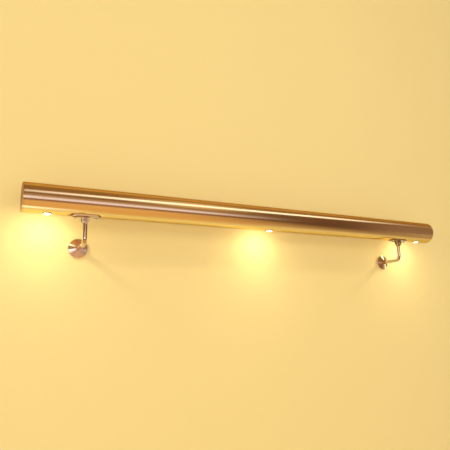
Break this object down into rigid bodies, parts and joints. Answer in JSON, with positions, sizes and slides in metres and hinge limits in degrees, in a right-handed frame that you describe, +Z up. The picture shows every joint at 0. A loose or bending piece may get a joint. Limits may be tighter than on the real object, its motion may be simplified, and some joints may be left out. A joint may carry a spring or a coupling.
{
  "type": "led handrail",
  "caption": "Wall-mounted straight metal handrail with LED lamps let into its underside, on articulated brackets with bent arms and round wall roses.",
  "frame": {"origin": "centre of the left wall plate's back face, in the plane of the wall", "axes": "+X along the rail towards the right bracket, +Y into the wall, +Z up"},
  "size_m": [1.16, 0.1001, 0.1392],
  "materials": {
    "satin_steel": "satin, drawn lengthways, warm gold-bronze tone",
    "polished_steel": "polished, warm gold-bronze tone",
    "turned_steel": "turned in rings, warm gold-bronze tone",
    "plate_steel": "plain ground",
    "screw_steel": "polished, warm tone",
    "lens": "frosted clear",
    "reflector": "bright",
    "circuit_board": "white solder mask",
    "emitter": "phosphor",
    "rubber": "matt",
    "connector_plastic": "moulded",
    "lead_jacket": "matt jacket"
  },
  "bodies": {
    "rail": {"rail_tube": "satin_steel", "left_end_cap": "satin_steel", "right_end_cap": "satin_steel", "left_spot_housing": "polished_steel", "left_spot_lens": "lens", "left_spot_reflector": "reflector", "left_spot_board": "circuit_board", "left_spot_led": "emitter", "left_spot_ring": "rubber", "middle_spot_housing": "polished_steel", "middle_spot_lens": "lens", "middle_spot_reflector": "reflector", "middle_spot_board": "circuit_board", "middle_spot_led": "emitter", "middle_spot_ring": "rubber", "right_spot_housing": "polished_steel", "right_spot_lens": "lens", "right_spot_reflector": "reflector", "right_spot_board": "circuit_board", "right_spot_led": "emitter", "right_spot_ring": "rubber", "cable_grommet": "rubber", "supply_connector": "connector_plastic", "supply_lead": "lead_jacket", "left_link_lead": "lead_jacket", "right_link_lead": "lead_jacket", "left_saddle": "polished_steel", "left_saddle_screws": "screw_steel", "left_pivot_screw": "screw_steel", "right_saddle": "polished_steel", "right_saddle_screws": "screw_steel", "right_pivot_screw": "screw_steel"},
    "left_bracket_arm": {"left_arm": "polished_steel", "left_wall_plate": "plate_steel"},
    "right_bracket_arm": {"right_arm": "polished_steel", "right_wall_plate": "plate_steel"},
    "left_rose_cover": {"left_rose": "turned_steel", "left_rose_ring": "rubber"},
    "right_rose_cover": {"right_rose": "turned_steel", "right_rose_ring": "rubber"}
  },
  "joints": [
    {"name": "left_pivot", "type": "hinge", "parent": "rail", "child": "left_bracket_arm", "pos_m": [0, -0.07, 0.0495], "axis": [0, 1, 0], "range_deg": [-45, 45]},
    {"name": "right_pivot", "type": "hinge", "parent": "rail", "child": "right_bracket_arm", "pos_m": [0.91, -0.07, 0.0495], "axis": [0, 1, 0], "range_deg": [-45, 45]},
    {"name": "left_rose_slide", "type": "slide", "parent": "left_bracket_arm", "child": "left_rose_cover", "axis": [0, -1, 0], "range_m": [0, 0.045]},
    {"name": "right_rose_slide", "type": "slide", "parent": "right_bracket_arm", "child": "right_rose_cover", "axis": [0, -1, 0], "range_m": [0, 0.045]}
  ]
}
